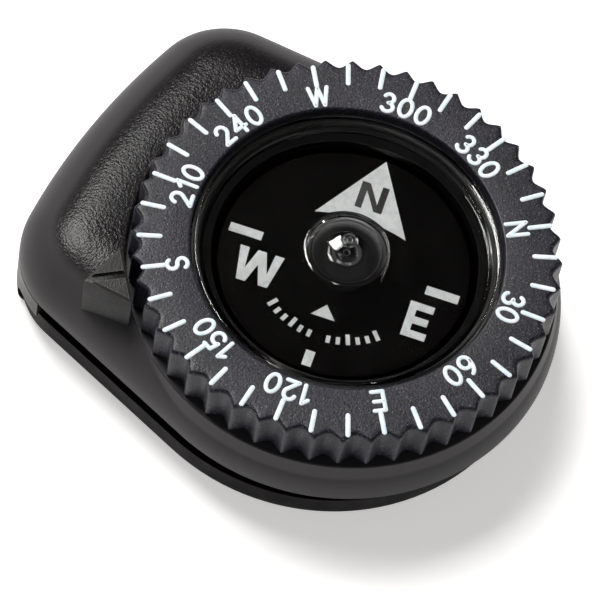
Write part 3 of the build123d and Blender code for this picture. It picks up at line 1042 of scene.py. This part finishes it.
def half_plate(side):
    """One of the two raised plates on the arrowhead, with the channel between them."""
    rows = [(0.14, 0.0, POINTER_SUNK - 0.05), (0.14, 0.0, POINTER_SUNK - 0.02), (0.19, 0.05, 0.0)]
    points = []
    for inset, ease, drop in rows:
        (x0, low), (tip, _), _ = arrow(inset)
        channel = POINTER_CHANNEL + ease
        slope = (tip - x0) / -low
        near_tip = tip - channel * slope
        corners = [(x0, channel * side), (near_tip, channel * side), (x0, -low * side)]
        points += [(x, y, pointer_top - drop) for x, y in corners[::side]]
    return points, capped(len(rows), 3)


def build_pointer():
    shape = Shape()
    sunk = pointer_top - POINTER_SUNK
    levels = [(0.0, pointer_bottom), (0.0, sunk - 0.08), (0.02, sunk - 0.02), (0.07, sunk)]
    points = [(x, y, z) for inset, z in levels for x, y in arrow_rim(inset)]
    turn = Matrix.Rotation(math.radians(POINTER_ANGLE), 4, "Z")
    place = turn @ Matrix.Translation((pointer_base, 0, 0))
    shape.add(points, capped(len(levels), len(points) // len(levels)), place)
    for side in (-1, 1):
        shape.add(*half_plate(side), place)
    return shape.mesh("index_pointer_arrow", sharp_angle=25)


fit(build_pointer(), "housing", pointer_plastic, ["index_pointer"])

# %% [markdown]
# ## Capsule cup
#
# The cup is polished black plastic. Its wall steps down in two rounded shelves from the rim to the
# card, and those shelves catch the softbox as two bright crescents. It is turned from one section.

# %% Turn the cup
CUP_FLOOR, SPIGOT_WALL = 0.8, 0.7
CAVITY_RADIUS = 7.5
cavity_floor = POCKET_FLOOR + CUP_FLOOR
spigot = cup_radius - SPIGOT_WALL
cup_section = rounded([
    (0.0, POCKET_FLOOR),
    (cup_radius, POCKET_FLOOR, 0.1),
    (cup_radius, snap_bottom - groove_gap),
    (snap_inner - groove_gap, snap_bottom - groove_gap),
    (snap_inner - groove_gap, snap_top + groove_gap),
    (cup_radius, snap_top + groove_gap),
    (cup_radius, rim_top, 0.03),
    (spigot, rim_top - 0.20, 0.06),
    (spigot, rim_top - 0.52, 0.10),
    (spigot - 0.10, rim_top - 0.72, 0.06),
    (CAVITY_RADIUS + 0.16, rim_top - 0.88, 0.08),
    (CAVITY_RADIUS, rim_top - 1.25, 0.10),
    (CAVITY_RADIUS, cavity_floor, 0.3),
    (0.0, cavity_floor),
], closed=False)
cup = lathe("capsule_cup_turned", cup_section, 240, closed=False)
fit(cup, "housing", cup_plastic, ["capsule_cup"])

# %% [markdown]
# ## Window
#
# The cover is clear acrylic with a low dome over the hub, and the liquid fills the space below it,
# so light bends mostly at the outer face. The window is turned with a small bevel at its rim and a
# soft fillet where the dome leaves the flat, which is what draws the pale ring round the dome.

# %% Turn the window
WINDOW_THICKNESS, DOME_WALL = 0.8, 0.5
DOME_RADIUS = 2.4
FILLET_START = DOME_RADIUS + 0.35  # where the flat ends
FILLET_REACH = 0.5
CLEARANCE = 0.03  # round the window's spigot
window_top = rim_top + WINDOW_THICKNESS
dome_rise = dome_top - window_top
ball = (DOME_RADIUS**2 + dome_rise**2) / (2 * dome_rise)  # radius of the dome's ball
ball_z = dome_top - ball


def dome_line(radius, start_radius, steps, end_radius=0.0):
    """Points on the dome's arc from start_radius inwards, for a ball of this radius."""
    out = []
    for k in range(steps + 1):
        r = start_radius + (end_radius - start_radius) * k / steps
        out.append((r, ball_z + math.sqrt(radius**2 - r**2)))
    return out


def gate_mark(radius, rings=((0.42, 0.07), (0.20, 0.05)), depth=0.035):
    """The moulding gate left two fine turned grooves on the dome's top."""
    dip = sum(max(1 - abs(radius - place) / half, 0) for place, half in rings)
    return depth * min(dip, 1.0)


def window_section():
    outer = rounded([
        (spigot - CLEARANCE, rim_top - 0.4, 0.05),
        (spigot - CLEARANCE, rim_top, 0.02),
        (cup_radius, rim_top, 0.04),
        (cup_radius, window_top - 0.2, 0.05),
        (cup_radius - 0.2, window_top, 0.08),
        (FILLET_START, window_top),
    ], closed=False)
    fillet = []
    for k in range(1, 6):
        t = k / 6
        r = FILLET_START - FILLET_REACH * t
        on_ball = ball_z + math.sqrt(max(ball**2 - r**2, 0))
        fillet.append((r, window_top * (1 - t * t) + max(on_ball, window_top) * t * t))
    arc_out = dome_line(ball, DOME_RADIUS - 0.18, 16, 0.56)
    arc_out += [(r, z - gate_mark(r)) for r, z in dome_line(ball, 0.525, 21)]
    inner = ball - DOME_WALL
    inner_r = math.sqrt(max(inner**2 - (rim_top - ball_z) ** 2, 0))
    arc_in = dome_line(inner, min(inner_r, 2.1), 14)[::-1]
    inner_base = [(arc_in[-1][0], rim_top - 0.4)]
    return outer + fillet + arc_out + arc_in + inner_base


window = lathe("capsule_window_domed", window_section(), 240, closed=True)
fit(window, "housing", window_clear, ["capsule_window"])

# %% [markdown]
# ## Hub and card
#
# The hub is a tiny bush with a rounded hood and a ring of steps on top, and the bearing stone is
# pressed into it. The card is a thin black disc. Both are turned.

# %% Turn the hub and the card
hub_outer = rounded([
    (0.0, hub_bottom + 0.9),
    (0.78, hub_bottom + 0.9),
    (0.78, hub_bottom, 0.02),
    (card_bore, hub_bottom, 0.05),
    (card_bore, card_top),
    (hub_radius, card_top, 0.05),
    (hub_radius, hub_top - 0.42, 0.28),
    (hub_radius - 0.55, hub_top - 0.02, 0.25),
    (0.62, hub_top, 0.04),
    (0.56, hub_top - 0.07, 0.03),
    (0.42, hub_top - 0.07, 0.03),
    (0.36, hub_top, 0.03),
    (0.17, hub_top, 0.03),
    (0.11, hub_top - 0.06, 0.02),
    (0.0, hub_top - 0.06),
], closed=False)
hub = lathe("card_hub_turned", hub_outer, 96, closed=False)
fit(hub, "card", hub_black, ["card_hub"])

card_section = rounded([
    (card_bore, card_low),
    (card_radius, card_low, 0.05),
    (card_radius, card_top, 0.06),
    (card_bore, card_top),
])
card = lathe("compass_card_disc", card_section, 192)
fit(card, "card", card_black, ["compass_card"])

# %% [markdown]
# ## Print on the card
#
# The card carries a white north arrow with a black letter, bold letters and bars for west and east,
# a small south arrow and a short bar. The print is a thin raised layer, so each mark is a flat
# outline given a thickness. The maker's word on the real card is left out, and a plain curved scale
# of small ticks takes its place.


# %% Define a printed mark
PRINT_RISE = 0.03
PRINT_SINK = 0.02


def printed(shape, outline, angle=CARD_NORTH, rise=PRINT_RISE, base=None):
    """Adds one flat mark: outline is counter-clockwise, x to the card's east and y to its north."""
    level = card_top if base is None else base
    turn = Matrix.Rotation(math.radians(angle - 90), 4, "Z")
    low = [(x, y, level - PRINT_SINK) for x, y in outline]
    shoulder = [(x, y, level + rise * 0.7) for x, y in outline]
    top = [(x, y, level + rise) for x, y in outline]
    shape.add(low + shoulder + top, capped(3, len(outline)), turn)


def sides(x, y, width, height):
    return x - width / 2, x + width / 2, y - height / 2, y + height / 2


def box_mark(x, y, width, height):
    l, r, b, t = sides(x, y, width, height)
    return [(l, b), (r, b), (r, t), (l, t)]


def letter_n(x, y, width, height, pen):
    l, r, b, t = sides(x, y, width, height)
    slope = pen * 1.22
    return [(l, b), (l + pen, b), (l + pen, t - slope), (r - slope * 0.98, b), (r, b), (r, t),
            (r - pen, t), (r - pen, b + slope), (l + slope * 0.98, t), (l, t)]


def letter_e(x, y, width, height, pen):
    l, r, b, t = sides(x, y, width, height)
    stem, arm, half = l + pen, r - 0.12, pen / 2
    return [(l, b), (r, b), (r, b + pen), (stem, b + pen), (stem, y - half), (arm, y - half),
            (arm, y + half), (stem, y + half), (stem, t - pen), (r, t - pen), (r, t), (l, t)]


def letter_w(x, y, width, height, pen):
    """Four leaning strokes as one outline."""
    l, r, b, t = sides(x, y, width, height)
    q = width / 4
    lean = pen * 0.52
    xs = [l + lean, x - q, x, x + q, r - lean]
    inner = b + pen * 1.55
    return [
        (xs[1] - lean, b), (xs[1] + lean, b), (xs[2], t - pen * 1.75), (xs[3] - lean, b),
        (xs[3] + lean, b), (xs[4] + lean, t), (xs[4] - lean, t), (xs[3], inner),
        (xs[2] + lean * 0.9, t), (xs[2] - lean * 0.9, t), (xs[1], inner), (xs[0] + lean, t),
        (xs[0] - lean, t),
    ]


UNIT = 12.2  # the card's print was laid out on this measure


def units(points):
    return [(x * UNIT, y * UNIT) for x, y in points]


# %% Print the white marks
ARROW_HALF, ARROW_SHIFT, ARROW_FOOT, ARROW_SWELL = 0.224, 0.013, 0.215, 0.035
north_arrow = [(0.030, 0.586)]
for k in range(17):
    x = -ARROW_HALF + 2 * ARROW_HALF * k / 16
    north_arrow.append((x + ARROW_SHIFT, ARROW_FOOT + ARROW_SWELL * (1 - (x / ARROW_HALF) ** 2)))
white_print = Shape()
for outline in (
    north_arrow,
    box_mark(-0.48, 0.0, 0.16, 0.045),
    box_mark(0.48, 0.0, 0.16, 0.045),
    [(-0.068, -0.306), (0.048, -0.306), (-0.01, -0.237)],
    box_mark(-0.01, -0.53, 0.045, 0.08),
):
    printed(white_print, units(outline))
printed(white_print, letter_w(-0.375 * UNIT, -0.163 * UNIT, 2.62, 2.15, 0.52))
printed(white_print, letter_e(0.41 * UNIT, -0.17 * UNIT, 1.43, 2.27, 0.46))
TICK_STEP, TICK_HALF_WIDTH, TICK_END, LONG_TICK, SHORT_TICK = 6.5, 0.12, 5.2, 0.65, 0.45
for k in range(-6, 7):
    if k == 0:
        continue  # the short bar stands here
    bearing = math.radians(-90 + k * TICK_STEP)
    out = Vector((math.cos(bearing), math.sin(bearing)))
    half = Vector((-out.y, out.x)) * TICK_HALF_WIDTH
    foot, head = out * (TICK_END - (LONG_TICK if k % 3 == 0 else SHORT_TICK)), out * TICK_END
    printed(white_print, [foot - half, head - half, head + half, foot + half])
fit(white_print.mesh("card_white_marks"), "card", card_ink)

# %% Print the black letter on the arrow
black_print = Shape()
black_n = letter_n(0.022 * UNIT, 0.378 * UNIT, 1.62, 1.73, 0.40)
printed(black_print, black_n, rise=0.02, base=card_top + PRINT_RISE)
fit(black_print.mesh("card_black_letter"), "card", card_black_ink)

# %% [markdown]
# ## Clip and sealed parts
#
# The lower jaw, its root and the parts inside the capsule already have the right shape in the
# engineering model, so they stay. They only need their finish: a satin nylon on the root, its base
# made paler as a painted reflection of the table, and a near-black nylon on the jaw as painted
# shade, both with edges rounded in the shading, and workshop finishes on the sealed parts.

# %% Finish the pieces that stay
STAYING = {
    # the root's paler nylon is partly painted reflection; the jaw's near-black nylon is painted shade
    "clip_root": side_nylon_painted_sheen,
    "clip_plate": jaw_nylon_painted_shade,
    "bezel_snap_ring": spring_steel,
    "capsule_gasket": rubber,
    "fill_plug": cup_plastic,
    "pivot_pin": steel,
    "jewel_bearing": stone,
    "card_magnet": magnet,
    "balance_weight": brass,
}
for node, material in STAYING.items():
    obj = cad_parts[node]
    obj.data.materials.clear()
    obj.data.materials.append(material)
    print(node, "is finished in", material.name)
